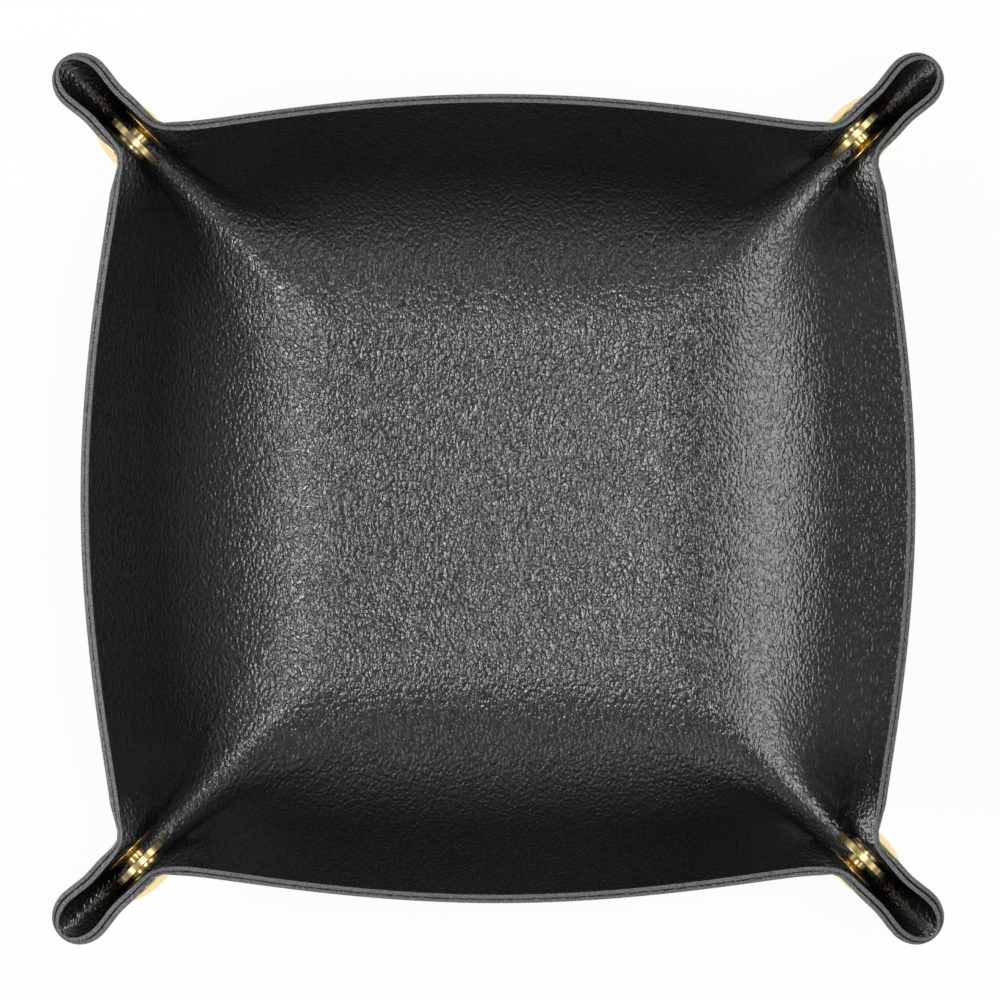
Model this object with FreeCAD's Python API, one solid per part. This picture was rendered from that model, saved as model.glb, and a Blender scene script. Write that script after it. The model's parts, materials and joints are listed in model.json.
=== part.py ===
import FreeCAD
import Part
import math
import os

Vector = FreeCAD.Vector
ORIGIN = Vector(0, 0, 0)
UP = Vector(0, 0, 1)
ROOT_TWO = math.sqrt(2)
CORNERS = {"back_right": 0, "back_left": 90, "front_left": 180, "front_right": 270}

# Two leather squares, cut alike and bonded back to back
SHEET_SIDE = 200.0
CORNER_RADIUS = 16.0
LEATHER_THICKNESS = 1.1

# Middle of each side, from the centre outward: flat floor, bend, straight wall
FLOOR_REACH = 34.0
BEND_RADIUS = 44.0
WALL_ANGLE = math.radians(57)

# How much farther out the rim lies on each pair of sides, and the radius that it bows to
LEFT_RIGHT_SPREAD = 1.9
LEFT_RIGHT_BOW_RADIUS = 235.0
FRONT_BACK_SPREAD = -0.8
FRONT_BACK_BOW_RADIUS = 255.0

# Valley to each corner, from the centre outward: flat floor, rise, ear that flares out
VALLEY_FLAT_MARGIN = 12.0
VALLEY_FLAT_REACH = FLOOR_REACH + VALLEY_FLAT_MARGIN
VALLEY_RADIUS = BEND_RADIUS * 2.5
VALLEY_ANGLE = math.radians(36.7)
FLARE_RADIUS = 62.0

# Plan of a pinched corner
PINCH_SOFTNESS = 5.2
VALLEY_ROUNDING = 14.0
EAR_ROUNDING = 6.2
EAR_WIDENING = 0.8
EAR_LENGTH = 20.0
EAR_DEPTH = 9.0
SEAT_BLEND = 2.4

# Domed cap of a press stud, with the barrel that rivets it to the socket
CAP_DIAMETER = 13.6
CAP_DOME = 1.3
CAP_EDGE = 0.8
BARREL_DIAMETER = 3.4
BARREL_WALL = 0.4
BARREL_FLARE = 0.2
BARREL_CURL = 0.3

# Socket drum on its hub, with the split ring that grips the stud
SOCKET_DIAMETER = 12.6
SOCKET_DEPTH = 2.6
SOCKET_HUB_DIAMETER = 7.6
SOCKET_HUB_HEIGHT = 0.9
HUB_EDGE_RADIUS = 0.2
SOCKET_SHEET = 0.35
SOCKET_EDGE_RADIUS = 0.25
SPRING_WIRE = 0.7
SPRING_SPLIT_ANGLE = 40.0

# Stud, and the flat-headed post that rivets it to the other wall
STUD_FLANGE_DIAMETER = 11.4
STUD_FLANGE_RISE = 0.55
STUD_SHEET = 0.4
STUD_CATCH = 0.3
POST_DIAMETER = 10.5
POST_DOME = 0.4
POST_EDGE = 0.5

# Clearances and margins
SNAP_GAP = 1.8
SEAT_CLEARANCE = 0.04
SEAT_MARGIN = 1.65
VALLEY_CLEARANCE = 2.0
CUT_EDGE_MARGIN = 3.3
HEAD_CLEARANCE = 0.3
HEAD_END_CLEARANCE = 0.2
SPRING_CLEARANCE = 0.05
BARREL_CLEARANCE = 0.05

# Control net of the formed leather, closer where the corners are pinched
LEVEL_STEPS = 28
LEVEL_CROWDING = 0.45
SIDE_STEPS = 28
SIDE_CROWDING = 0.6
END_STEPS = 8
END_TURN = 0.72
FLOOR_MARGIN = 3.0
ROUNDING_POWER = 3
PROBE = 1e-4


# Sizes that follow from those above

bend_length = BEND_RADIUS * WALL_ANGLE
side_length = SHEET_SIDE / 2 - FLOOR_REACH
wall_length = side_length - bend_length
rim_height = BEND_RADIUS * (1 - math.cos(WALL_ANGLE)) + wall_length * math.sin(WALL_ANGLE)

valley_rise_reach = VALLEY_FLAT_REACH + VALLEY_RADIUS * math.sin(VALLEY_ANGLE)
valley_rise_height = VALLEY_RADIUS * (1 - math.cos(VALLEY_ANGLE))
valley_rise_length = VALLEY_FLAT_REACH + VALLEY_RADIUS * VALLEY_ANGLE
valley_length = SHEET_SIDE / ROOT_TWO - CORNER_RADIUS * (ROOT_TWO - 1)

# Along a press stud's axis, from midway between the two walls towards the cap
stud_flange_height = STUD_FLANGE_RISE + STUD_SHEET
stack_height = SOCKET_DEPTH + SNAP_GAP + stud_flange_height
socket_base = stack_height / 2
socket_front = socket_base - SOCKET_DEPTH
stud_base = -stack_height / 2
stud_front = stud_base + stud_flange_height
wall_inside = stack_height / 2 + SEAT_CLEARANCE
half_gap = wall_inside + LEATHER_THICKNESS
wall_outside = half_gap + LEATHER_THICKNESS
cap_base = wall_outside + SEAT_CLEARANCE
post_base = -wall_outside - SEAT_CLEARANCE

# Radii that the barrel sets, from the inside out
barrel_radius = BARREL_DIAMETER / 2
bore_radius = barrel_radius - BARREL_WALL
hole_radius = barrel_radius + BARREL_CLEARANCE
curl_radius = barrel_radius + BARREL_FLARE
hollow_radius = curl_radius + BARREL_CLEARANCE
neck_radius = hollow_radius + STUD_SHEET
head_radius = neck_radius + STUD_CATCH
mouth_radius = head_radius + HEAD_CLEARANCE
spring_radius = neck_radius + SPRING_CLEARANCE + SPRING_WIRE / 2

spring_height = socket_front + SOCKET_SHEET + SPRING_WIRE / 2
head_start = spring_height + SPRING_WIRE / 2
cap_curl_end = socket_base - SOCKET_SHEET - BARREL_CURL
head_end = cap_curl_end - HEAD_END_CLEARANCE


# The bond surface between the two leathers

def valley_by_length(length):
    """Reach, height and slope of the valley line after a length of leather from the centre."""
    if length <= VALLEY_FLAT_REACH:
        return length, 0.0, 0.0
    if length <= valley_rise_length:
        slope = (length - VALLEY_FLAT_REACH) / VALLEY_RADIUS
        reach = VALLEY_FLAT_REACH + VALLEY_RADIUS * math.sin(slope)
        return reach, VALLEY_RADIUS * (1 - math.cos(slope)), slope
    slope = VALLEY_ANGLE - (length - valley_rise_length) / FLARE_RADIUS
    reach = valley_rise_reach + FLARE_RADIUS * (math.sin(VALLEY_ANGLE) - math.sin(slope))
    height = valley_rise_height + FLARE_RADIUS * (math.cos(slope) - math.cos(VALLEY_ANGLE))
    return reach, height, slope


def valley_by_height(height):
    """Reach of the valley line at a height."""
    if height <= valley_rise_height:
        return VALLEY_FLAT_REACH + math.sqrt(height * (2 * VALLEY_RADIUS - height))
    cosine = math.cos(VALLEY_ANGLE) + (height - valley_rise_height) / FLARE_RADIUS
    slope = math.acos(min(cosine, 1.0))
    return valley_rise_reach + FLARE_RADIUS * (math.sin(VALLEY_ANGLE) - math.sin(slope))


def side_by_length(length):
    """Reach and height of the middle of a side, a length of leather past the flat floor."""
    angle = min(max(length, 0.0) / BEND_RADIUS, WALL_ANGLE)
    straight = length - BEND_RADIUS * angle
    reach = FLOOR_REACH + BEND_RADIUS * math.sin(angle) + straight * math.cos(angle)
    height = BEND_RADIUS * (1 - math.cos(angle)) + straight * math.sin(angle)
    return reach, height


tip_reach, tip_height, tip_slope = valley_by_length(valley_length)
tip_share = tip_height / rim_height

# A press stud stands square to the valley, clear of its bottom and of the cut edge
snap_rise = LEATHER_THICKNESS + SOCKET_DIAMETER / 2 + VALLEY_CLEARANCE
snap_fold = snap_rise + (math.pi / 2 - 1) * half_gap
snap_inset = CAP_DIAMETER / 2 + CUT_EDGE_MARGIN
snap_length = ROOT_TWO * (SHEET_SIDE / 2 - snap_inset) - snap_fold
foot_reach, foot_height, foot_slope = valley_by_length(snap_length)
snap_reach = foot_reach - snap_rise * math.sin(foot_slope)
snap_height = foot_height + snap_rise * math.cos(foot_slope)
seat_radius = CAP_DIAMETER / 2 + SEAT_MARGIN
ear_start = snap_reach + seat_radius
ear_end = tip_reach - EAR_ROUNDING


def smooth(share):
    share = min(max(share, 0.0), 1.0)
    return share * share * (3 - 2 * share)


def bond_point(level, turn, sides):
    """Point of the bond surface in the quarter between +X and +Y.

    level runs from 0 at the edge of the flat floor to 1 at the rim, and below 0 on that floor.
    turn runs from 0 in the middle of the +X side, through 1 in the corner's valley, to 2 in the
    middle of the +Y side. sides are the spread and bow of the +X side, then of the +Y side.
    """
    if turn < 0:
        point = bond_point(level, -turn, sides)
        return Vector(point.x, -point.y, point.z)
    if turn > 1:
        point = bond_point(level, 2 - turn, sides[::-1])
        return Vector(point.y, point.x, point.z)

    # Along the corner's diagonal, from the middle of the side to the rounded end of the valley
    reach, height = side_by_length(level * side_length)
    height_share = height / rim_height
    spread, bow_radius = sides[0]
    reach += spread * height_share
    middle = reach / ROOT_TWO
    end = valley_by_height(height * tip_share) + min(level, 0.0) * side_length
    low_share = max(1 - height_share, 0.0) ** ROUNDING_POWER
    ear_level = smooth(1 - (rim_height - height) / EAR_DEPTH)
    rounding = half_gap + (VALLEY_ROUNDING - half_gap) * low_share + (EAR_ROUNDING - half_gap) * ear_level
    if turn < END_TURN:
        share = turn / END_TURN
        share = share * (1 + SIDE_CROWDING * (1 - share))
        along = middle + (end - rounding - middle) * share
        closing = 1.0
    else:
        swing = (turn - END_TURN) / (1 - END_TURN) * math.pi / 2
        along = end - rounding + rounding * math.sin(swing)
        closing = math.cos(swing)
    ear_share = max(1 - (end - along) / EAR_LENGTH, 0.0)
    rise = height * (1 - (1 - tip_share) * ear_share ** 2)

    # Across the diagonal: the bowed side runs softly into a page that the press stud holds flat
    bow = height_share / (2 * bow_radius)
    side = ROOT_TWO * (reach - bow * (ROOT_TWO * along - reach) ** 2) - along
    spare = side - half_gap
    softness = PINCH_SOFTNESS * (1 - (max(spare, 0.0) / (middle - half_gap)) ** 2)
    opening = (spare + math.hypot(spare, softness)) / 2
    seat_distance = math.hypot(along - snap_reach, rise - snap_height)
    opening *= smooth((seat_distance - seat_radius) / SEAT_BLEND)
    widening = EAR_WIDENING * smooth((along - ear_start) / (ear_end - ear_start))
    across = (half_gap + widening + opening) * closing
    return Vector((along + across) / ROOT_TWO, (along - across) / ROOT_TWO, rise)


def formed_point(level, turn, offset, sides):
    """Point at an offset from the bond surface, towards the inside of the tray."""
    up_wall = bond_point(level + PROBE, turn, sides) - bond_point(level - PROBE, turn, sides)
    round_rim = bond_point(level, turn + PROBE, sides) - bond_point(level, turn - PROBE, sides)
    normal = up_wall.cross(round_rim).normalize()
    return bond_point(level, turn, sides) + normal * offset + UP * LEATHER_THICKNESS


def crowded(steps, crowding):
    """Shares from 0 up to, but without, 1, which lie closer together towards 1."""
    shares = [step / steps for step in range(steps)]
    return [share * (1 + crowding * (1 - share)) for share in shares]


def formed_quarter(offset, sides):
    """Smooth surface of one quarter of the leather, outside the flat floor."""
    side = [END_TURN * step / SIDE_STEPS for step in range(SIDE_STEPS)]
    rounded_end = [END_TURN + (1 - END_TURN) * step / END_STEPS for step in range(END_STEPS)]
    half = side + rounded_end
    turns = half + [1.0] + [2 - turn for turn in reversed(half)]
    levels = [-FLOOR_MARGIN / side_length] + crowded(LEVEL_STEPS, LEVEL_CROWDING) + [1.0]
    net = [[formed_point(level, turn, offset, sides) for turn in turns] for level in levels]
    level_repeats = [4] + [1] * (len(levels) - 4) + [4]
    turn_repeats = [4] + [1] * (len(turns) - 4) + [4]
    level_knots = list(range(len(level_repeats)))
    turn_knots = list(range(len(turn_repeats)))
    surface = Part.BSplineSurface()
    surface.buildFromPolesMultsKnots(
        net, level_repeats, turn_repeats, level_knots, turn_knots, False, False, 3, 3
    )
    return surface


# The leather layers

def turned(shape, angle):
    copy = shape.copy()
    copy.rotate(ORIGIN, UP, angle)
    return copy


def snap_placed(shape, angle):
    """Turn a piece made about +Z onto the axis of the press stud in the corner at that angle."""
    copy = shape.copy()
    copy.rotate(ORIGIN, Vector(1, 0, 0), -90)
    copy.rotate(ORIGIN, UP, 45)
    side = snap_reach / ROOT_TWO
    copy.translate(Vector(side, side, snap_height + LEATHER_THICKNESS))
    return turned(copy, angle)


def leather_faces(offset):
    """Four turned quarters with the flat floor between them, and their rim edges."""
    left_right = (LEFT_RIGHT_SPREAD, LEFT_RIGHT_BOW_RADIUS)
    front_back = (FRONT_BACK_SPREAD, FRONT_BACK_BOW_RADIUS)
    even = formed_quarter(offset, (left_right, front_back))
    odd = formed_quarter(offset, (front_back, left_right))
    floor_level, rim_level = even.bounds()[:2]
    quarters = list(zip((even, odd, even, odd), CORNERS.values()))
    walls = [turned(quarter.toShape(), angle) for quarter, angle in quarters]
    rim_edges = [turned(quarter.uIso(rim_level).toShape(), angle) for quarter, angle in quarters]
    floor_edges = [turned(quarter.uIso(floor_level).toShape(), angle) for quarter, angle in quarters]
    return walls + [Part.Face(Part.Wire(floor_edges))], rim_edges


def make_leather(lower_offset, upper_offset):
    """Closed layer between two offsets from the bond, with a hole for each barrel."""
    lower_faces, lower_rims = leather_faces(lower_offset)
    upper_faces, upper_rims = leather_faces(upper_offset)
    cut_edges = [Part.makeRuledSurface(low, high) for low, high in zip(lower_rims, upper_rims)]
    shell = Part.Shell(lower_faces + upper_faces + cut_edges)
    shell.sewShape()
    layer = Part.Solid(shell)
    if layer.Volume < 0:
        layer.reverse()
    hole_reach = wall_outside + LEATHER_THICKNESS
    hole = Part.makeCylinder(hole_radius, 2 * hole_reach, Vector(0, 0, -hole_reach))
    return layer.cut([snap_placed(hole, angle) for angle in CORNERS.values()]).Solids[0]


# Press stud pieces, turned about +Z from outlines of radius and height

def at(radius, height):
    return Vector(radius, 0, height)


def line(start, end):
    return Part.LineSegment(start, end).toShape()


def arc(start, middle, end):
    return Part.Arc(start, middle, end).toShape()


def round_corner(corner, radius, towards_start, towards_end):
    """Quarter arc in the corner of an outline, between two square directions."""
    start = corner + towards_start * radius
    end = corner + towards_end * radius
    centre = start + towards_end * radius
    return arc(start, centre + (corner - centre).normalize() * radius, end)


def revolved(edges, angle=360):
    return Part.Face(Part.Wire(edges)).revolve(ORIGIN, UP, angle)


def path(points):
    return [line(start, end) for start, end in zip(points, points[1:])]


def dome_middle(rim_radius, dome):
    """Point halfway out on a shallow spherical dome, above the plane of its rim."""
    sphere_radius = (rim_radius ** 2 + dome ** 2) / (2 * dome)
    radius = rim_radius / 2
    return at(radius, math.sqrt(sphere_radius ** 2 - radius ** 2) - sphere_radius + dome)


def riveted_barrel(base, seat, direction):
    """Outline of a barrel from a head's base, curled out beyond the seat that it clamps."""
    end = seat + direction * BARREL_CURL
    return path([
        at(barrel_radius, base),
        at(barrel_radius, seat),
        at(curl_radius, seat),
        at(curl_radius, end),
        at(bore_radius, end),
        at(bore_radius, base),
        at(0, base),
    ])


def headed_rivet(radius, base, edge, dome, seat, direction):
    """Domed head with a rolled edge, and its barrel; direction points from head to barrel."""
    shoulder = radius - edge / 2
    rim = base - direction * edge
    top = rim - direction * dome
    middle = dome_middle(shoulder, dome)
    outline = [
        line(at(0, base), at(0, top)),
        arc(at(0, top), at(middle.x, rim - direction * middle.z), at(shoulder, rim)),
        arc(at(shoulder, rim), at(radius, (rim + base) / 2), at(shoulder, base)),
        line(at(shoulder, base), at(barrel_radius, base)),
    ]
    return revolved(outline + riveted_barrel(base, seat, direction))


def make_cap():
    seat = socket_base - SOCKET_SHEET
    return headed_rivet(CAP_DIAMETER / 2, cap_base, CAP_EDGE, CAP_DOME, seat, -1)


def make_post():
    seat = stud_base + STUD_SHEET
    return headed_rivet(POST_DIAMETER / 2, post_base, POST_EDGE, POST_DOME, seat, 1)


def make_socket():
    """Hollow drum on a narrower hub, held by the cap's barrel and open towards the stud."""
    radius = SOCKET_DIAMETER / 2
    hub = SOCKET_HUB_DIAMETER / 2
    edge = SOCKET_EDGE_RADIUS
    hub_edge = HUB_EDGE_RADIUS
    back = socket_base - SOCKET_HUB_HEIGHT
    base_inside = socket_base - SOCKET_SHEET
    back_inside = back - SOCKET_SHEET
    front_inside = socket_front + SOCKET_SHEET
    inward = Vector(-1, 0, 0)
    outer = [
        line(at(hole_radius, socket_base), at(hub - hub_edge, socket_base)),
        round_corner(at(hub, socket_base), hub_edge, inward, UP * -1),
        line(at(hub, socket_base - hub_edge), at(hub, back)),
        line(at(hub, back), at(radius - edge, back)),
        round_corner(at(radius, back), edge, inward, UP * -1),
        line(at(radius, back - edge), at(radius, socket_front + edge)),
        round_corner(at(radius, socket_front), edge, UP, inward),
    ]
    lip = arc(
        at(mouth_radius + SOCKET_SHEET / 2, socket_front),
        at(mouth_radius, socket_front + SOCKET_SHEET / 2),
        at(mouth_radius + SOCKET_SHEET / 2, front_inside),
    )
    front = line(at(radius - edge, socket_front), at(mouth_radius + SOCKET_SHEET / 2, socket_front))
    inner = path([
        at(mouth_radius + SOCKET_SHEET / 2, front_inside),
        at(radius - SOCKET_SHEET, front_inside),
        at(radius - SOCKET_SHEET, back_inside),
        at(hub - SOCKET_SHEET, back_inside),
        at(hub - SOCKET_SHEET, base_inside),
        at(hole_radius, base_inside),
        at(hole_radius, socket_base),
    ])
    return revolved(outer + [front, lip] + inner)


def make_spring():
    """Split ring of round wire behind the socket's lip, round the neck of the stud."""
    section = Part.makeCircle(SPRING_WIRE / 2, at(spring_radius, spring_height), Vector(0, 1, 0))
    return revolved([section], 360 - SPRING_SPLIT_ANGLE)


def make_stud():
    """Dished flange against the leather, and a hollow neck with a rounded head."""
    radius = STUD_FLANGE_DIAMETER / 2
    shoulder = radius - STUD_SHEET / 2
    flange_top = stud_base + STUD_SHEET
    head_middle = (head_start + head_end) / 2
    outline = path([
        at(hollow_radius, head_end),
        at(hollow_radius, flange_top),
        at(hole_radius, flange_top),
        at(hole_radius, stud_base),
        at(shoulder, stud_base),
    ])
    outline += [
        arc(at(shoulder, stud_base), at(radius, stud_base + STUD_SHEET / 2), at(shoulder, flange_top)),
        line(at(shoulder, flange_top), at(neck_radius + STUD_FLANGE_RISE, stud_front)),
        line(at(neck_radius + STUD_FLANGE_RISE, stud_front), at(neck_radius, stud_front + STUD_FLANGE_RISE)),
        line(at(neck_radius, stud_front + STUD_FLANGE_RISE), at(neck_radius, head_start)),
        arc(at(neck_radius, head_start), at(head_radius, head_middle), at(neck_radius, head_end)),
        line(at(neck_radius, head_end), at(hollow_radius, head_end)),
    ]
    return revolved(outline)


# One file for each piece

pieces = {
    "outer_leather": make_leather(-LEATHER_THICKNESS, 0.0),
    "inner_leather": make_leather(0.0, LEATHER_THICKNESS),
}
snap_pieces = {
    "cap": make_cap(),
    "socket": make_socket(),
    "spring": make_spring(),
    "stud": make_stud(),
    "post": make_post(),
}
for corner, angle in CORNERS.items():
    for name, shape in snap_pieces.items():
        pieces[corner + "_" + name] = snap_placed(shape, angle)

os.makedirs("parts", exist_ok=True)
for name, shape in pieces.items():
    shape.exportStep("parts/" + name + ".step")

print("rim height", round(rim_height + LEATHER_THICKNESS, 2))
print("ear tip", round(tip_reach, 2), round(tip_height + LEATHER_THICKNESS, 2), math.degrees(tip_slope))
print("press stud", round(snap_reach, 4), round(snap_height + LEATHER_THICKNESS, 4))
print("valley below it", round(foot_reach, 4), round(foot_height + LEATHER_THICKNESS, 4), foot_slope)
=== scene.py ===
import json
import math

import bpy
import numpy as np
from mathutils import Matrix, Vector

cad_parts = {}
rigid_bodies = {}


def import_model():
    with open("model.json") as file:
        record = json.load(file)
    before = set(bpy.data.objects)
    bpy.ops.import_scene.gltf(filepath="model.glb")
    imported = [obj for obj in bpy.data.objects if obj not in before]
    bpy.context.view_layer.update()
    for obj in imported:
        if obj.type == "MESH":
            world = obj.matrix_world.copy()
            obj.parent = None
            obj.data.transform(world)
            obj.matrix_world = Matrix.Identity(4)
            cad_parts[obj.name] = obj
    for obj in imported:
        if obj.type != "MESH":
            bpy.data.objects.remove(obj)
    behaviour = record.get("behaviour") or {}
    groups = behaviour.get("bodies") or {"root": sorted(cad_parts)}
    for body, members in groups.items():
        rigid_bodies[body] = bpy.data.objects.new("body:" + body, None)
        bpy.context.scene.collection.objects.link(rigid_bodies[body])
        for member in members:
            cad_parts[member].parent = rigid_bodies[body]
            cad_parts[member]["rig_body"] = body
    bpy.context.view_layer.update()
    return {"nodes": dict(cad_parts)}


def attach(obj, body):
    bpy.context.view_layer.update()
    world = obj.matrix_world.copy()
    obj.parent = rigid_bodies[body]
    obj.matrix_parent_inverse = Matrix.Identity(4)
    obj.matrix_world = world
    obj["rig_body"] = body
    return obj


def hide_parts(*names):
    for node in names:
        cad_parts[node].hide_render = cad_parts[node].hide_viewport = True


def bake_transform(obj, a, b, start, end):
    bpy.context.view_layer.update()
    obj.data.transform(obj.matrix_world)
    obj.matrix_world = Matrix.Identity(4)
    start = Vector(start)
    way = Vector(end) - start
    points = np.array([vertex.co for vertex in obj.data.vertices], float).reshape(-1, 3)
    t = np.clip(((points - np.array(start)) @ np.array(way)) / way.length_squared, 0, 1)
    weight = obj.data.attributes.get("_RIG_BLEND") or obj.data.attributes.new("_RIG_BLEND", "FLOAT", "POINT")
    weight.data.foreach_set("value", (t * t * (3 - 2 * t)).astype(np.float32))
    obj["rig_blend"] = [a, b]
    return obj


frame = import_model()

ROOT_TWO = math.sqrt(2)
CORNERS = {"back_right": 0, "back_left": 90, "front_left": 180, "front_right": 270}

# Two leather squares, cut alike and bonded back to back
SHEET_SIDE = 0.200
CORNER_RADIUS = 0.016
LEATHER_THICKNESS = 0.0011

# Middle of each side, from the centre outward: flat floor, bend, straight wall
FLOOR_REACH = 0.034
BEND_RADIUS = 0.044
WALL_ANGLE = math.radians(57)

# How much farther out the rim lies on each pair of sides, and the radius that it bows to
LEFT_RIGHT_SPREAD = 0.0019
LEFT_RIGHT_BOW_RADIUS = 0.235
FRONT_BACK_SPREAD = -0.0008
FRONT_BACK_BOW_RADIUS = 0.255

# Valley to each corner, from the centre outward: flat floor, rise, ear that flares out
VALLEY_FLAT_MARGIN = 0.012
VALLEY_FLAT_REACH = FLOOR_REACH + VALLEY_FLAT_MARGIN
VALLEY_BEND_RATIO = 2.5
VALLEY_RADIUS = BEND_RADIUS * VALLEY_BEND_RATIO
VALLEY_ANGLE = math.radians(36.7)
FLARE_RADIUS = 0.062

# Plan of a pinched corner
PINCH_SOFTNESS = 0.0052
VALLEY_ROUNDING = 0.014
EAR_ROUNDING = 0.0062
EAR_WIDENING = 0.0008
EAR_LENGTH = 0.020
EAR_DEPTH = 0.009
SEAT_BLEND = 0.0024
SEAT_MARGIN = 0.00165
ROUNDING_POWER = 3

# Press stud
CAP_DIAMETER = 0.0136
CAP_DOME = 0.0013
CAP_EDGE = 0.0008
BARREL_DIAMETER = 0.0034
BARREL_WALL = 0.0004
BARREL_FLARE = 0.0002
BARREL_CURL = 0.0003
SOCKET_DIAMETER = 0.0126
SOCKET_DEPTH = 0.0026
SOCKET_HUB_DIAMETER = 0.0076
SOCKET_HUB_HEIGHT = 0.0009
HUB_EDGE_RADIUS = 0.0002
SOCKET_SHEET = 0.00035
SOCKET_EDGE_RADIUS = 0.00025
STUD_FLANGE_DIAMETER = 0.0114
STUD_FLANGE_RISE = 0.00055
STUD_SHEET = 0.0004
STUD_CATCH = 0.0003
POST_DIAMETER = 0.0105
POST_DOME = 0.0004
POST_EDGE = 0.0005
SNAP_GAP = 0.0018
SEAT_CLEARANCE = 0.00004
VALLEY_CLEARANCE = 0.002
CUT_EDGE_MARGIN = 0.0033
HEAD_CLEARANCE = 0.0003
HEAD_END_CLEARANCE = 0.0002
SPRING_WIRE = 0.0007
BARREL_CLEARANCE = 0.00005

# Cut edge of the leather: rounded outside, with a groove along the glue line
INSIDE_EDGE_RADIUS = 0.00014
OUTSIDE_EDGE_RADIUS = 0.00032
GLUE_EDGE_RADIUS = 0.00026

# Mesh of a quarter of a leather
SIDE_STEPS = 38
END_STEPS = 14
LEVEL_STEPS = 60
EDGE_STEPS = 4
END_TURN = 0.72
SIDE_CROWDING = 0.6
LEVEL_CROWDING = 0.35
PROBE = 1e-4
ON_LINE = 1e-7

# How far the leather follows an opening corner, from the press stud outward
FOLLOW_NEAR = 0.0105
FOLLOW_FAR = 0.070

# Press stud meshes
TURN_STEPS = 96
ARC_STEPS = 8
DOME_STEPS = 16
SHARP_ANGLE = math.radians(35)

# Where the values of a noise texture mostly lie
NOISE_LOW = 0.3
NOISE_HIGH = 0.7

# Leather finish: grain scales are cells per metre
GRAIN_SCALE = 1500.0
GRAIN_DETAIL = 1
GRAIN_STRETCH = (1.0, 0.62, 0.8)
GRAIN_SWIRL_SCALE = 70.0
GRAIN_SWIRL = 0.0006
GRAIN_WARP_SCALE = GRAIN_SCALE / 3
GRAIN_WARP = 0.0002
WARP_DETAIL = 2
GRAIN_DEPTH = 0.000135
PATCH_SCALE = 40.0
PATCH_DETAIL = 3
TOP_ROUGHNESS = 0.2
GROOVE_ROUGHNESS = 0.31
LEATHER_DARK = (0.0025, 0.0025, 0.0026)
LEATHER_LIGHT = (0.0045, 0.0045, 0.0046)
LEATHER_IOR = 1.6
LEATHER_SHINE = 1.0

# Cut edge finish
FIBRE_SCALE = 4000.0
FIBRE_DETAIL = 4
FIBRE_LOW = 0.42
FIBRE_HIGH = 0.6
FIBRE_DEPTH = 0.00015
EDGE_DARK = (0.09, 0.09, 0.092)
EDGE_LIGHT = (0.3, 0.3, 0.304)
EDGE_ROUGHNESS = 0.7

# Metal finish
BRASS_COLOUR = (1.0, 0.77, 0.36)
BRASS_ROUGHNESS = 0.24
BRASS_ROUGHNESS_SPREAD = 0.06
WIRE_COLOUR = (0.80, 0.58, 0.26)
WIRE_ROUGHNESS = 0.22
RUB_SCALE = 900.0
RUB_DETAIL = 4
RUB_LOW = 0.35
RUB_HIGH = 0.6
RUB_SHADE = 0.92
WAVE_SCALE = 350.0
WAVE_DETAIL = 1
WAVE_DEPTH = 0.000008

# Table, lights and camera
TABLE_COLOUR = (0.86, 0.86, 0.86)
TABLE_ROUGHNESS = 0.8
TABLE_GLOW = 0.9
TABLE_LIGHT = 1.03
TABLE_SIZE = 8.0
TABLE_DROP = 0.0002
WORLD_COLOUR = (1.0, 1.0, 1.0)
WORLD_STRENGTH = 0.2
CAMERA_HEIGHT = 1.04
CAMERA_PLACE = (0.0004, -0.0003)
FRAME_WIDTH_AT_RIM = 0.205

# Each softbox: name, tilt from the vertical, turn from +X, distance, width, length, power, colour
KEY_BOX = ("key_softbox", 15, 0, 1.2, 0.32, 0.42, 3.65, (1.0, 1.0, 1.0))
LEFT_BOX = ("left_softbox", 58, 180, 1.1, 0.62, 0.70, 4.9, (1.0, 0.99, 0.96))
FRONT_LEFT_BOX = ("front_left_softbox", 45, 225, 1.1, 0.85, 0.25, 1.6, (1.0, 1.0, 1.0))
BACK_RIGHT_BOX = ("back_right_softbox", 55, 50, 1.1, 0.75, 0.40, 1.6, (1.0, 1.0, 1.0))
FRONT_RIGHT_BOX = ("front_right_softbox", 55, 315, 1.1, 0.75, 0.40, 0.8, (1.0, 1.0, 1.0))
BACK_LEFT_BOX = ("back_left_softbox", 55, 135, 1.1, 0.75, 0.40, 0.5, (1.0, 1.0, 1.0))
SOFTBOXES = (KEY_BOX, LEFT_BOX, FRONT_LEFT_BOX, BACK_RIGHT_BOX, FRONT_RIGHT_BOX, BACK_LEFT_BOX)


# Sizes that follow from those above

bend_length = BEND_RADIUS * WALL_ANGLE
side_length = SHEET_SIDE / 2 - FLOOR_REACH
wall_length = side_length - bend_length
rim_height = BEND_RADIUS * (1 - math.cos(WALL_ANGLE)) + wall_length * math.sin(WALL_ANGLE)

valley_rise_reach = VALLEY_FLAT_REACH + VALLEY_RADIUS * math.sin(VALLEY_ANGLE)
valley_rise_height = VALLEY_RADIUS * (1 - math.cos(VALLEY_ANGLE))
valley_rise_length = VALLEY_FLAT_REACH + VALLEY_RADIUS * VALLEY_ANGLE
valley_length = SHEET_SIDE / ROOT_TWO - CORNER_RADIUS * (ROOT_TWO - 1)

stud_flange_height = STUD_FLANGE_RISE + STUD_SHEET
stack_height = SOCKET_DEPTH + SNAP_GAP + stud_flange_height
socket_base = stack_height / 2
socket_front = socket_base - SOCKET_DEPTH
stud_base = -stack_height / 2
stud_front = stud_base + stud_flange_height
wall_inside = stack_height / 2 + SEAT_CLEARANCE
half_gap = wall_inside + LEATHER_THICKNESS
wall_outside = half_gap + LEATHER_THICKNESS
cap_base = wall_outside + SEAT_CLEARANCE
post_base = -wall_outside - SEAT_CLEARANCE

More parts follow.
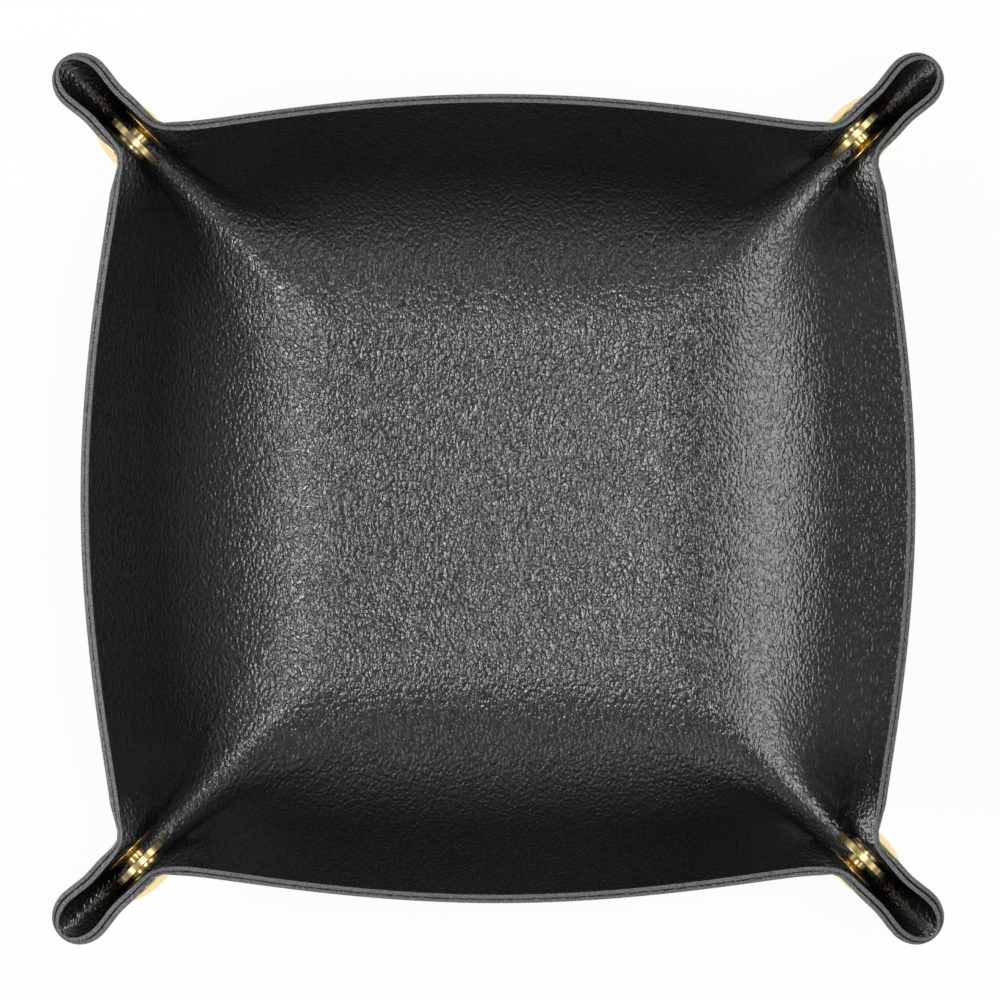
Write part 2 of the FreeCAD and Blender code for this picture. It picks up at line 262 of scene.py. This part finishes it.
barrel_radius = BARREL_DIAMETER / 2
bore_radius = barrel_radius - BARREL_WALL
hole_radius = barrel_radius + BARREL_CLEARANCE
curl_radius = barrel_radius + BARREL_FLARE
hollow_radius = curl_radius + BARREL_CLEARANCE
neck_radius = hollow_radius + STUD_SHEET
head_radius = neck_radius + STUD_CATCH
mouth_radius = head_radius + HEAD_CLEARANCE
head_start = socket_front + SOCKET_SHEET + SPRING_WIRE
head_end = socket_base - SOCKET_SHEET - BARREL_CURL - HEAD_END_CLEARANCE


# The bond surface between the two leathers

def valley_by_length(length):
    """Reach, height and slope of the valley line after a length of leather from the centre."""
    if length <= valley_rise_length:
        slope = max(length - VALLEY_FLAT_REACH, 0.0) / VALLEY_RADIUS
        reach = min(length, VALLEY_FLAT_REACH) + VALLEY_RADIUS * math.sin(slope)
        return reach, VALLEY_RADIUS * (1 - math.cos(slope)), slope
    slope = VALLEY_ANGLE - (length - valley_rise_length) / FLARE_RADIUS
    reach = valley_rise_reach + FLARE_RADIUS * (math.sin(VALLEY_ANGLE) - math.sin(slope))
    height = valley_rise_height + FLARE_RADIUS * (math.cos(slope) - math.cos(VALLEY_ANGLE))
    return reach, height, slope


def valley_by_height(height):
    """Reach of the valley line at each height."""
    low = np.clip(height, 0.0, valley_rise_height)
    rise = VALLEY_FLAT_REACH + np.sqrt(low * (2 * VALLEY_RADIUS - low))
    cosine = math.cos(VALLEY_ANGLE) + np.maximum(height - valley_rise_height, 0.0) / FLARE_RADIUS
    slope = np.arccos(np.minimum(cosine, 1.0))
    flare = valley_rise_reach + FLARE_RADIUS * (math.sin(VALLEY_ANGLE) - np.sin(slope))
    return np.where(height <= valley_rise_height, rise, flare)


def side_by_length(length):
    """Reach and height of the middle of a side, a length of leather past the flat floor."""
    angle = np.clip(length / BEND_RADIUS, 0.0, WALL_ANGLE)
    straight = length - BEND_RADIUS * angle
    reach = FLOOR_REACH + BEND_RADIUS * np.sin(angle) + straight * np.cos(angle)
    height = BEND_RADIUS * (1 - np.cos(angle)) + straight * np.sin(angle)
    return reach, height


tip_reach, tip_height, _ = valley_by_length(valley_length)
tip_share = tip_height / rim_height
snap_rise = LEATHER_THICKNESS + SOCKET_DIAMETER / 2 + VALLEY_CLEARANCE
snap_fold = snap_rise + (math.pi / 2 - 1) * half_gap
snap_inset = CAP_DIAMETER / 2 + CUT_EDGE_MARGIN
snap_length = ROOT_TWO * (SHEET_SIDE / 2 - snap_inset) - snap_fold
foot_reach, foot_height, foot_slope = valley_by_length(snap_length)
snap_reach = foot_reach - snap_rise * math.sin(foot_slope)
snap_height = foot_height + snap_rise * math.cos(foot_slope)
seat_radius = CAP_DIAMETER / 2 + SEAT_MARGIN
ear_start = snap_reach + seat_radius
ear_end = tip_reach - EAR_ROUNDING


def smooth(share):
    """Eases a share from 0 to 1, with no slope at either end."""
    share = np.clip(share, 0.0, 1.0)
    return share * share * (3 - 2 * share)


def bond_points(level, turn, sides):
    """Points of the bond surface in the quarter between +X and +Y.

    level runs from 0 at the edge of the flat floor to 1 at the rim. turn runs from 0 in the middle of
    the +X side, through 1 in the corner's valley, to 2 in the middle of the +Y side. sides are the
    spread and bow of the +X side, then of the +Y side.
    """
    level, turn = np.broadcast_arrays(np.asarray(level, float), np.asarray(turn, float))
    past_valley = turn > 1
    before_side = turn < 0
    half_turn = np.abs(np.where(past_valley, 2 - turn, turn))
    past_end = past_valley & (turn > 2)

    # Along the corner's diagonal, from the middle of the side to the rounded end of the valley
    reach, height = side_by_length(level * side_length)
    height_share = height / rim_height
    spread, bow_radius = [np.where(past_valley, second, first) for first, second in zip(*sides)]
    reach = reach + spread * height_share
    middle = reach / ROOT_TWO
    end = valley_by_height(height * tip_share) + np.minimum(level, 0.0) * side_length
    low_share = np.maximum(1 - height_share, 0.0) ** ROUNDING_POWER
    ear_level = smooth(1 - (rim_height - height) / EAR_DEPTH)
    rounding = half_gap + (VALLEY_ROUNDING - half_gap) * low_share + (EAR_ROUNDING - half_gap) * ear_level
    share = np.minimum(half_turn / END_TURN, 1.0)
    share = share * (1 + SIDE_CROWDING * (1 - share))
    swing = np.maximum(half_turn - END_TURN, 0.0) / (1 - END_TURN) * math.pi / 2
    along = middle + (end - rounding - middle) * share + rounding * np.sin(swing)
    closing = np.cos(swing)
    ear_share = np.maximum(1 - (end - along) / EAR_LENGTH, 0.0)
    rise = height * (1 - (1 - tip_share) * ear_share ** 2)

    # Across the diagonal: the bowed side runs softly into a page that the press stud holds flat
    bow = height_share / (2 * bow_radius)
    side = ROOT_TWO * (reach - bow * (ROOT_TWO * along - reach) ** 2) - along
    spare = side - half_gap
    softness = PINCH_SOFTNESS * (1 - (np.maximum(spare, 0.0) / (middle - half_gap)) ** 2)
    opening = (spare + np.hypot(spare, softness)) / 2
    seat_distance = np.hypot(along - snap_reach, rise - snap_height)
    opening = opening * smooth((seat_distance - seat_radius) / SEAT_BLEND)
    widening = EAR_WIDENING * smooth((along - ear_start) / (ear_end - ear_start))
    across = (half_gap + widening + opening) * closing
    near = (along + across) / ROOT_TWO
    far = (along - across) / ROOT_TWO
    far = np.where(before_side | past_end, -far, far)
    x = np.where(past_valley, far, near)
    y = np.where(past_valley, near, far)
    return np.stack([x, y, rise], axis=-1)


def formed_points(level, turn, offset, sides):
    """Points at an offset from the bond surface, towards the inside of the tray."""
    up_wall = bond_points(level + PROBE, turn, sides) - bond_points(level - PROBE, turn, sides)
    round_rim = bond_points(level, turn + PROBE, sides) - bond_points(level, turn - PROBE, sides)
    normal = np.cross(up_wall, round_rim)
    normal /= np.linalg.norm(normal, axis=-1, keepdims=True)
    points = bond_points(level, turn, sides) + normal * np.asarray(offset)[..., None]
    points[..., 2] += LEATHER_THICKNESS
    return points


def follow_weights(level, turn, sides):
    """Share of an opening corner's swing that the leather follows: all round the socket, none far off."""
    points = bond_points(level, turn, sides)
    centre = np.array([snap_reach / ROOT_TWO, snap_reach / ROOT_TWO, snap_height])
    distance = np.linalg.norm(points - centre, axis=-1)
    nearness = 1 - smooth((distance - FOLLOW_NEAR) / (FOLLOW_FAR - FOLLOW_NEAR))
    fold = smooth((np.asarray(turn) - END_TURN) / (2 * (1 - END_TURN)))
    return nearness * fold


# Leather meshes, with three kinds of face: grain, cut edge, and the seam to the next quarter
GRAIN_FACE, EDGE_FACE, SEAM_FACE = range(3)


def crowded(steps, crowding):
    """Steps from 0 to 1 that lie closer together towards 1."""
    share = np.arange(steps + 1) / steps
    return share * (1 + crowding * (1 - share))


def section(low, high, low_edge, high_edge):
    """Levels and offsets round the section of a layer: upper face, cut edge, lower face."""
    turn = np.linspace(0, math.pi / 2, EDGE_STEPS + 1)
    levels = [crowded(LEVEL_STEPS, LEVEL_CROWDING) * (1 - high_edge / side_length)]
    offsets = [np.full(LEVEL_STEPS + 1, high)]
    levels.append(1 + (high_edge * np.sin(turn[1:]) - high_edge) / side_length)
    offsets.append(high - high_edge + high_edge * np.cos(turn[1:]))
    levels.append((1 + (low_edge * np.sin(turn[1:]) - low_edge) / side_length)[::-1])
    offsets.append((low + low_edge - low_edge * np.cos(turn[1:]))[::-1])
    levels.append((crowded(LEVEL_STEPS, LEVEL_CROWDING) * (1 - low_edge / side_length))[::-1])
    offsets.append(np.full(LEVEL_STEPS + 1, low))
    return np.concatenate(levels), np.concatenate(offsets)


def quarter_turns():
    """Turns across a quarter, evenly stepped on each side and round the end of the valley."""
    side = END_TURN * np.arange(SIDE_STEPS) / SIDE_STEPS
    rounded_end = END_TURN + (1 - END_TURN) * np.arange(END_STEPS) / END_STEPS
    half = np.concatenate([side, rounded_end])
    return np.concatenate([half, [1.0], 2 - half[::-1]])


def floor_grid(edge):
    """Flat grid between the two middle lines and a formed edge that has its corner halfway."""
    steps = len(edge) // 2
    share = np.arange(steps + 1) / steps
    right = edge[:steps + 1]
    top = edge[steps:][::-1]
    u = share[:, None, None]
    v = share[None, :, None]
    corner_x = right[0]
    corner_y = top[0]
    corner = right[-1]
    centre = np.array([0.0, 0.0, edge[0][2]])
    bottom_line = centre + (corner_x - centre) * u
    left_line = centre + (corner_y - centre) * v
    ruled = (1 - v) * bottom_line + v * top[:, None, :] + (1 - u) * left_line + u * right[None, :, :]
    corners = (1 - u) * (1 - v) * centre + u * (1 - v) * corner_x + (1 - u) * v * corner_y + u * v * corner
    return ruled - corners


def join_shading(mesh, points, spin):
    """Shades the quarter's middle lines without a slant across them, so that quarters join unseen."""
    smooth_faces = [polygon for polygon in mesh.polygons if polygon.use_smooth]
    normals = np.zeros((len(points), 3))
    for polygon in smooth_faces:
        normals[list(polygon.vertices)] += np.array(polygon.normal) * polygon.area
    normals = normals @ spin
    on_x_line = np.abs(points[:, 1]) < ON_LINE
    on_y_line = np.abs(points[:, 0]) < ON_LINE
    normals[on_x_line, 1] = 0.0
    normals[on_y_line, 0] = 0.0
    normals[~(on_x_line | on_y_line)] = 0.0
    lengths = np.linalg.norm(normals, axis=1, keepdims=True)
    normals = normals / np.where(lengths > 0, lengths, 1.0)
    normals = normals @ spin.T
    corner_normals = np.zeros((len(mesh.loops), 3))
    for polygon in smooth_faces:
        corners = list(polygon.loop_indices)
        corner_normals[corners] = normals[list(polygon.vertices)]
    mesh.normals_split_custom_set(corner_normals.tolist())


def leather_quarter(name, low, high, low_edge, high_edge, angle, materials):
    """Closed quarter of one layer, with its weights for the swing of its corner."""
    levels, offsets = section(low, high, low_edge, high_edge)
    turns = quarter_turns()
    rows = len(levels)
    columns = len(turns)
    steps = columns // 2
    level_net = np.repeat(levels[:, None], columns, axis=1)
    turn_net = np.repeat(turns[None, :], rows, axis=0)
    offset_net = np.repeat(offsets[:, None], columns, axis=1)
    left_right = (LEFT_RIGHT_SPREAD, LEFT_RIGHT_BOW_RADIUS)
    front_back = (FRONT_BACK_SPREAD, FRONT_BACK_BOW_RADIUS)
    sides = (left_right, front_back) if angle % 180 == 0 else (front_back, left_right)
    wall = formed_points(level_net, turn_net, offset_net, sides)
    weights = follow_weights(level_net, turn_net, sides)

    points = [wall.reshape(-1, 3)]
    follow = [weights.ravel()]
    wall_index = np.arange(rows * columns).reshape(rows, columns)
    faces = []
    marks = []
    first_edge_row = LEVEL_STEPS + 1
    last_edge_row = rows - LEVEL_STEPS - 2

    def add(face, mark):
        faces.append([int(index) for index in face])
        marks.append(mark)

    groove_rows = range(first_edge_row + EDGE_STEPS, last_edge_row + 1)
    if high == 0.0:
        groove_rows = range(LEVEL_STEPS, LEVEL_STEPS + EDGE_STEPS)
    for row in range(rows - 1):
        on_edge = first_edge_row <= row + 1 and row <= last_edge_row
        mark = EDGE_FACE if on_edge and row not in groove_rows else GRAIN_FACE
        for column in range(columns - 1):
            here = wall_index[row:row + 2, column:column + 2]
            add([here[0, 0], here[0, 1], here[1, 1], here[1, 0]][::-1], mark)

    seams = []
    for edge_row, flip in ((0, False), (rows - 1, True)):
        grid = floor_grid(wall[edge_row])
        index = np.full((steps + 1, steps + 1), -1)
        index[steps, :] = wall_index[edge_row, :steps + 1]
        index[:, steps] = wall_index[edge_row, steps:][::-1]
        start = sum(len(part) for part in points)
        index[:steps, :steps] = start + np.arange(steps * steps).reshape(steps, steps)
        points.append(grid[:steps, :steps].reshape(-1, 3))
        follow.append(np.zeros(steps * steps))
        for i in range(steps):
            for j in range(steps):
                face = [index[i, j], index[i + 1, j], index[i + 1, j + 1], index[i, j + 1]]
                add(face[::-1] if flip else face, GRAIN_FACE)
        seams.append((index[:, 0], index[0, :]))

    # Flat faces on the two middle lines close the quarter
    (upper_x, upper_y), (lower_x, lower_y) = seams
    half = rows // 2
    for row in range(half - 1):
        twin = rows - 1 - row
        around = [row, row + 1, twin - 1, twin]
        add(wall_index[around, 0][::-1], SEAM_FACE)
        add(wall_index[around, -1], SEAM_FACE)
    for step in range(steps):
        add([upper_x[step], upper_x[step + 1], lower_x[step + 1], lower_x[step]][::-1], SEAM_FACE)
        add([upper_y[step], upper_y[step + 1], lower_y[step + 1], lower_y[step]], SEAM_FACE)

    points = np.concatenate(points)
    spin = np.array(Matrix.Rotation(math.radians(angle), 3, "Z"))
    mesh = bpy.data.meshes.new(name)
    mesh.from_pydata((points @ spin.T).tolist(), [], faces)
    for material in materials:
        mesh.materials.append(material)
    for polygon, mark in zip(mesh.polygons, marks):
        polygon.material_index = 1 if mark == EDGE_FACE else 0
        polygon.use_smooth = mark != SEAM_FACE
    mesh.update()
    join_shading(mesh, points, spin)
    piece = bpy.data.objects.new(name, mesh)
    bpy.context.scene.collection.objects.link(piece)
    return piece, np.concatenate(follow)


# Press stud pieces, turned about +Z from outlines of radius and height

def arc(centre, radius, first, last):
    """Points of an arc from the first to the last angle, in degrees from the outward direction."""
    angles = np.radians(np.linspace(first, last, ARC_STEPS + 1))
    return [(centre[0] + radius * math.cos(a), centre[1] + radius * math.sin(a)) for a in angles]


def dome(rim_radius, rise, rim, direction):
    """Points of a shallow spherical dome from its top, on the axis, to its rim."""
    sphere_radius = (rim_radius ** 2 + rise ** 2) / (2 * rise)
    widest = math.asin(rim_radius / sphere_radius)
    centre = rim + direction * (rise - sphere_radius)
    angles = [widest * step / DOME_STEPS for step in range(DOME_STEPS + 1)]
    return [(sphere_radius * math.sin(a), centre + direction * sphere_radius * math.cos(a)) for a in angles]


def turned_mesh(name, outline, material):
    """Mesh of an outline turned about +Z. One that starts and ends on the axis closes in two points."""
    following = outline[1:] + outline[:1]
    enclosed = sum(here[0] * after[1] - after[0] * here[1] for here, after in zip(outline, following))
    if enclosed > 0:
        outline = outline[::-1]
    on_axis = outline[0][0] < ON_LINE
    ring = outline[1:-1] if on_axis else outline
    count = len(ring)
    points = []
    for step in range(TURN_STEPS):
        angle = 2 * math.pi * step / TURN_STEPS
        points += [(radius * math.cos(angle), radius * math.sin(angle), height) for radius, height in ring]
    faces = []
    for step in range(TURN_STEPS):
        here = step * count
        there = (step + 1) % TURN_STEPS * count
        for index in range(count - 1 if on_axis else count):
            after = (index + 1) % count
            faces.append((here + index, here + after, there + after, there + index))
        if on_axis:
            faces.append((count * TURN_STEPS, here, there))
            faces.append((count * TURN_STEPS + 1, there + count - 1, here + count - 1))
    if on_axis:
        points += [(0.0, 0.0, outline[0][1]), (0.0, 0.0, outline[-1][1])]
    mesh = bpy.data.meshes.new(name)
    mesh.from_pydata(points, [], faces)
    mesh.materials.append(material)
    mesh.polygons.foreach_set("use_smooth", [True] * len(mesh.polygons))
    mesh.set_sharp_from_angle(angle=SHARP_ANGLE)
    mesh.update()
    return mesh


def headed_rivet(radius, base, edge, rise, seat, direction):
    """Domed head with a rolled edge, and the barrel that curls over what it clamps."""
    shoulder = radius - edge / 2
    rim = base - direction * edge
    end = seat + direction * BARREL_CURL
    rolled = arc((shoulder, (rim + base) / 2), edge / 2, -90 * direction, 90 * direction)
    return dome(shoulder, rise, rim, -direction) + rolled[1:] + [
        (barrel_radius, base),
        (barrel_radius, seat),
        (curl_radius, seat),
        (curl_radius, end),
        (bore_radius, end),
        (bore_radius, base),
        (0.0, base),
    ]


def cap_outline():
    return headed_rivet(CAP_DIAMETER / 2, cap_base, CAP_EDGE, CAP_DOME, socket_base - SOCKET_SHEET, -1)


def post_outline():
    return headed_rivet(POST_DIAMETER / 2, post_base, POST_EDGE, POST_DOME, stud_base + STUD_SHEET, 1)


def socket_outline():
    """Drum on a narrower hub, open towards the stud through a rolled lip."""
    radius = SOCKET_DIAMETER / 2
    hub_radius = SOCKET_HUB_DIAMETER / 2
    edge = SOCKET_EDGE_RADIUS
    back = socket_base - SOCKET_HUB_HEIGHT
    lip = mouth_radius + SOCKET_SHEET / 2
    base_inside = socket_base - SOCKET_SHEET
    back_inside = back - SOCKET_SHEET
    front_inside = socket_front + SOCKET_SHEET
    outline = [(hole_radius, socket_base)]
    outline += arc((hub_radius - HUB_EDGE_RADIUS, socket_base - HUB_EDGE_RADIUS), HUB_EDGE_RADIUS, 90, 0)
    outline += [(hub_radius, back)]
    outline += arc((radius - edge, back - edge), edge, 90, 0)
    outline += arc((radius - edge, socket_front + edge), edge, 0, -90)
    outline += arc((lip, socket_front + SOCKET_SHEET / 2), SOCKET_SHEET / 2, 270, 90)
    return outline + [
        (radius - SOCKET_SHEET, front_inside),
        (radius - SOCKET_SHEET, back_inside),
        (hub_radius - SOCKET_SHEET, back_inside),
        (hub_radius - SOCKET_SHEET, base_inside),
        (hole_radius, base_inside),
    ]


def stud_outline():
    """Dished flange against the leather, and a hollow neck with a rounded head."""
    shoulder = STUD_FLANGE_DIAMETER / 2 - STUD_SHEET / 2
    flange_top = stud_base + STUD_SHEET
    half_head = (head_end - head_start) / 2
    bulge = (half_head ** 2 + STUD_CATCH ** 2) / (2 * STUD_CATCH)
    spread = math.degrees(math.asin(half_head / bulge))
    outline = arc((shoulder, stud_base + STUD_SHEET / 2), STUD_SHEET / 2, -90, 90)
    outline += [(neck_radius + STUD_FLANGE_RISE, stud_front)]
    outline += [(neck_radius, stud_front + STUD_FLANGE_RISE)]
    outline += arc((head_radius - bulge, (head_start + head_end) / 2), bulge, -spread, spread)
    outline += [(hollow_radius, head_end), (hollow_radius, flange_top), (hole_radius, flange_top)]
    return outline + [(hole_radius, stud_base)]


def snap_matrix(angle):
    """Turns a piece made about +Z onto the axis of the press stud in the corner at that angle."""
    side = snap_reach / ROOT_TWO
    place = Matrix.Translation((side, side, snap_height + LEATHER_THICKNESS))
    along_diagonal = Matrix.Rotation(math.radians(45), 4, "Z")
    square_to_valley = along_diagonal @ Matrix.Rotation(math.radians(-90), 4, "X")
    return Matrix.Rotation(math.radians(angle), 4, "Z") @ place @ square_to_valley


def add_snap_piece(corner, angle, name, outline, material):
    node = corner + "_" + name
    mesh = turned_mesh("polished_" + node, outline, material)
    mesh.transform(snap_matrix(angle))
    piece = bpy.data.objects.new(mesh.name, mesh)
    bpy.context.scene.collection.objects.link(piece)
    modifier = piece.modifiers.new("even_shading", "WEIGHTED_NORMAL")
    modifier.keep_sharp = True
    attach(piece, frame["nodes"][node]["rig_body"])
    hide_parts(node)


# Materials

def new_material(name):
    material = bpy.data.materials.new(name)
    material.use_nodes = True
    return material, material.node_tree.nodes, material.node_tree.links


def add_noise(nodes, links, vector, scale, detail):
    noise = nodes.new("ShaderNodeTexNoise")
    noise.inputs["Scale"].default_value = scale
    noise.inputs["Detail"].default_value = detail
    links.new(vector, noise.inputs["Vector"])
    return noise


def add_range(nodes, links, value, low, high, first, last):
    spread = nodes.new("ShaderNodeMapRange")
    spread.inputs["From Min"].default_value = low
    spread.inputs["From Max"].default_value = high
    spread.inputs["To Min"].default_value = first
    spread.inputs["To Max"].default_value = last
    links.new(value, spread.inputs["Value"])
    return spread.outputs["Result"]


def add_warp(nodes, links, vector, scale, reach):
    """Shifts a place by noise, up to half the reach each way."""
    noise = add_noise(nodes, links, vector, scale, WARP_DETAIL)
    centred = nodes.new("ShaderNodeVectorMath")
    centred.operation = "SUBTRACT"
    centred.inputs[1].default_value = (0.5, 0.5, 0.5)
    links.new(noise.outputs["Color"], centred.inputs[0])
    shifted = nodes.new("ShaderNodeVectorMath")
    shifted.operation = "MULTIPLY_ADD"
    shifted.inputs[1].default_value = (reach, reach, reach)
    links.new(centred.outputs["Vector"], shifted.inputs[0])
    links.new(vector, shifted.inputs[2])
    return shifted.outputs["Vector"]


def add_colours(nodes, links, value, stops):
    ramp = nodes.new("ShaderNodeValToRGB")
    elements = ramp.color_ramp.elements
    for element, (place, shade) in zip(elements, stops):
        element.position = place
        element.color = (*shade, 1.0)
    links.new(value, ramp.inputs["Fac"])
    return ramp.outputs["Color"]


def add_bump(nodes, links, height, distance):
    bump = nodes.new("ShaderNodeBump")
    bump.inputs["Distance"].default_value = distance
    links.new(height, bump.inputs["Height"])
    return bump.outputs["Normal"]


def make_leather_material():
    """Black leather with a fine, slightly drawn-out pebble grain that shines on its tops."""
    material, nodes, links = new_material("black_grain_leather")
    shader = nodes["Principled BSDF"]
    place = nodes.new("ShaderNodeTexCoord").outputs["Object"]
    drawn = nodes.new("ShaderNodeMapping")
    drawn.inputs["Scale"].default_value = GRAIN_STRETCH
    links.new(add_warp(nodes, links, place, GRAIN_SWIRL_SCALE, GRAIN_SWIRL), drawn.inputs["Vector"])
    warped = add_warp(nodes, links, drawn.outputs["Vector"], GRAIN_WARP_SCALE, GRAIN_WARP)
    grain = add_noise(nodes, links, warped, GRAIN_SCALE, GRAIN_DETAIL)
    pebble = add_range(nodes, links, grain.outputs["Fac"], NOISE_LOW, NOISE_HIGH, 0.0, 1.0)
    gloss = add_range(nodes, links, pebble, 0.0, 1.0, GROOVE_ROUGHNESS, TOP_ROUGHNESS)
    patches = add_noise(nodes, links, place, PATCH_SCALE, PATCH_DETAIL)
    links.new(add_bump(nodes, links, pebble, GRAIN_DEPTH), shader.inputs["Normal"])
    links.new(gloss, shader.inputs["Roughness"])
    stops = [(NOISE_LOW, LEATHER_DARK), (NOISE_HIGH, LEATHER_LIGHT)]
    tint = add_colours(nodes, links, patches.outputs["Fac"], stops)
    links.new(tint, shader.inputs["Base Color"])
    shader.inputs["IOR"].default_value = LEATHER_IOR
    shader.inputs["Specular IOR Level"].default_value = LEATHER_SHINE
    return material


def make_edge_material():
    """Raw cut edge of the leather: grey, fibrous and dull."""
    material, nodes, links = new_material("cut_leather_edge")
    shader = nodes["Principled BSDF"]
    place = nodes.new("ShaderNodeTexCoord").outputs["Object"]
    fibres = add_noise(nodes, links, place, FIBRE_SCALE, FIBRE_DETAIL)
    links.new(add_bump(nodes, links, fibres.outputs["Fac"], FIBRE_DEPTH), shader.inputs["Normal"])
    stops = [(FIBRE_LOW, EDGE_DARK), (FIBRE_HIGH, EDGE_LIGHT)]
    tint = add_colours(nodes, links, fibres.outputs["Fac"], stops)
    links.new(tint, shader.inputs["Base Color"])
    shader.inputs["Roughness"].default_value = EDGE_ROUGHNESS
    return material


def make_brass_material(name, colour, roughness, roughness_spread):
    """Gold-coloured brass, softly polished, with slight waves and rub marks from pressing."""
    material, nodes, links = new_material(name)
    shader = nodes["Principled BSDF"]
    place = nodes.new("ShaderNodeTexCoord").outputs["Object"]
    rubs = add_noise(nodes, links, place, RUB_SCALE, RUB_DETAIL)
    waves = add_noise(nodes, links, place, WAVE_SCALE, WAVE_DETAIL)
    dullest = roughness + roughness_spread
    gloss = add_range(nodes, links, rubs.outputs["Fac"], NOISE_LOW, NOISE_HIGH, roughness, dullest)
    links.new(gloss, shader.inputs["Roughness"])
    links.new(add_bump(nodes, links, waves.outputs["Fac"], WAVE_DEPTH), shader.inputs["Normal"])
    worn = tuple(channel * RUB_SHADE for channel in colour)
    tint = add_colours(nodes, links, rubs.outputs["Fac"], [(RUB_LOW, worn), (RUB_HIGH, colour)])
    links.new(tint, shader.inputs["Base Color"])
    shader.inputs["Metallic"].default_value = 1.0
    return material


def make_floor_material():
    """White table that the camera and shining pieces see glowing white, with a faint shadow left on it."""
    material, nodes, links = new_material("white_table")
    shader = nodes["Principled BSDF"]
    shader.inputs["Base Color"].default_value = (*TABLE_COLOUR, 1.0)
    shader.inputs["Roughness"].default_value = TABLE_ROUGHNESS
    glow = nodes.new("ShaderNodeEmission")
    glow.inputs["Strength"].default_value = TABLE_LIGHT
    rays = nodes.new("ShaderNodeLightPath")
    seen = rays.outputs["Is Camera Ray"]
    for ray in ("Is Glossy Ray", "Is Transmission Ray"):
        either = nodes.new("ShaderNodeMath")
        either.operation = "MAXIMUM"
        links.new(seen, either.inputs[0])
        links.new(rays.outputs[ray], either.inputs[1])
        seen = either.outputs["Value"]
    share = add_range(nodes, links, seen, 0.0, 1.0, 0.0, TABLE_GLOW)
    mix = nodes.new("ShaderNodeMixShader")
    links.new(share, mix.inputs["Fac"])
    links.new(shader.outputs["BSDF"], mix.inputs[1])
    links.new(glow.outputs["Emission"], mix.inputs[2])
    links.new(mix.outputs["Shader"], nodes["Material Output"].inputs["Surface"])
    return material


# Stage, lights and camera

def add_table():
    mesh = bpy.data.meshes.new("table")
    half = TABLE_SIZE / 2
    corners = [(-half, -half), (half, -half), (half, half), (-half, half)]
    mesh.from_pydata([(x, y, -TABLE_DROP) for x, y in corners], [], [(0, 1, 2, 3)])
    mesh.materials.append(make_floor_material())
    table = bpy.data.objects.new("table", mesh)
    bpy.context.scene.collection.objects.link(table)


def add_softbox(name, tilt, turn, distance, width, length, power, colour):
    """Area light at an angle from the vertical, towards a compass turn from +X, aimed at the tray."""
    light = bpy.data.lights.new(name, "AREA")
    light.shape = "RECTANGLE"
    light.size = width
    light.size_y = length
    light.energy = power
    light.color = colour
    lamp = bpy.data.objects.new(name, light)
    tilt = math.radians(tilt)
    turn = math.radians(turn)
    towards = Vector((math.sin(tilt) * math.cos(turn), math.sin(tilt) * math.sin(turn), math.cos(tilt)))
    lamp.location = towards * distance
    lamp.rotation_euler = towards.to_track_quat("Z", "Y").to_euler()
    bpy.context.scene.collection.objects.link(lamp)


def add_world():
    world = bpy.data.worlds.new("studio")
    world.use_nodes = True
    background = world.node_tree.nodes["Background"]
    background.inputs["Color"].default_value = (*WORLD_COLOUR, 1.0)
    background.inputs["Strength"].default_value = WORLD_STRENGTH
    bpy.context.scene.world = world


def add_camera():
    camera = bpy.data.cameras.new("camera")
    rim_distance = CAMERA_HEIGHT - rim_height - LEATHER_THICKNESS
    camera.lens = camera.sensor_width * rim_distance / FRAME_WIDTH_AT_RIM
    viewer = bpy.data.objects.new("camera", camera)
    viewer.location = (*CAMERA_PLACE, CAMERA_HEIGHT)
    bpy.context.scene.collection.objects.link(viewer)
    bpy.context.scene.camera = viewer


# Build

def build_leather():
    materials = [make_leather_material(), make_edge_material()]
    layers = {
        "inner_leather": (0.0, LEATHER_THICKNESS, GLUE_EDGE_RADIUS, INSIDE_EDGE_RADIUS),
        "outer_leather": (-LEATHER_THICKNESS, 0.0, OUTSIDE_EDGE_RADIUS, GLUE_EDGE_RADIUS),
    }
    for corner, angle in CORNERS.items():
        body = "socket_half_" + corner
        turn = Matrix.Rotation(math.radians(angle), 4, "Z")
        foot_side = foot_reach / ROOT_TWO
        valley_foot = Vector((foot_side, foot_side, foot_height + LEATHER_THICKNESS))
        socket_seat = snap_matrix(angle) @ Vector((0.0, 0.0, half_gap))
        for layer, (low, high, low_edge, high_edge) in layers.items():
            name = layer + "_" + corner
            piece, weights = leather_quarter(name, low, high, low_edge, high_edge, angle, materials)
            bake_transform(piece, "tray", body, start=turn @ valley_foot, end=socket_seat)
            follow = piece.data.attributes["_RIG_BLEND"]
            follow.data.foreach_set("value", weights.astype(np.float32))
            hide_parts(layer)


def build_snaps():
    brass = make_brass_material("gold_brass", BRASS_COLOUR, BRASS_ROUGHNESS, BRASS_ROUGHNESS_SPREAD)
    wire = make_brass_material("spring_wire", WIRE_COLOUR, WIRE_ROUGHNESS, BRASS_ROUGHNESS_SPREAD)
    outlines = {
        "cap": cap_outline(),
        "socket": socket_outline(),
        "stud": stud_outline(),
        "post": post_outline(),
    }
    for corner, angle in CORNERS.items():
        for name, outline in outlines.items():
            add_snap_piece(corner, angle, name, outline, brass)
        spring = frame["nodes"][corner + "_spring"]
        spring.data.materials.clear()
        spring.data.materials.append(wire)


build_leather()
build_snaps()
add_table()
for softbox in SOFTBOXES:
    add_softbox(*softbox)
add_world()
add_camera()
bpy.context.scene.view_settings.view_transform = "Standard"
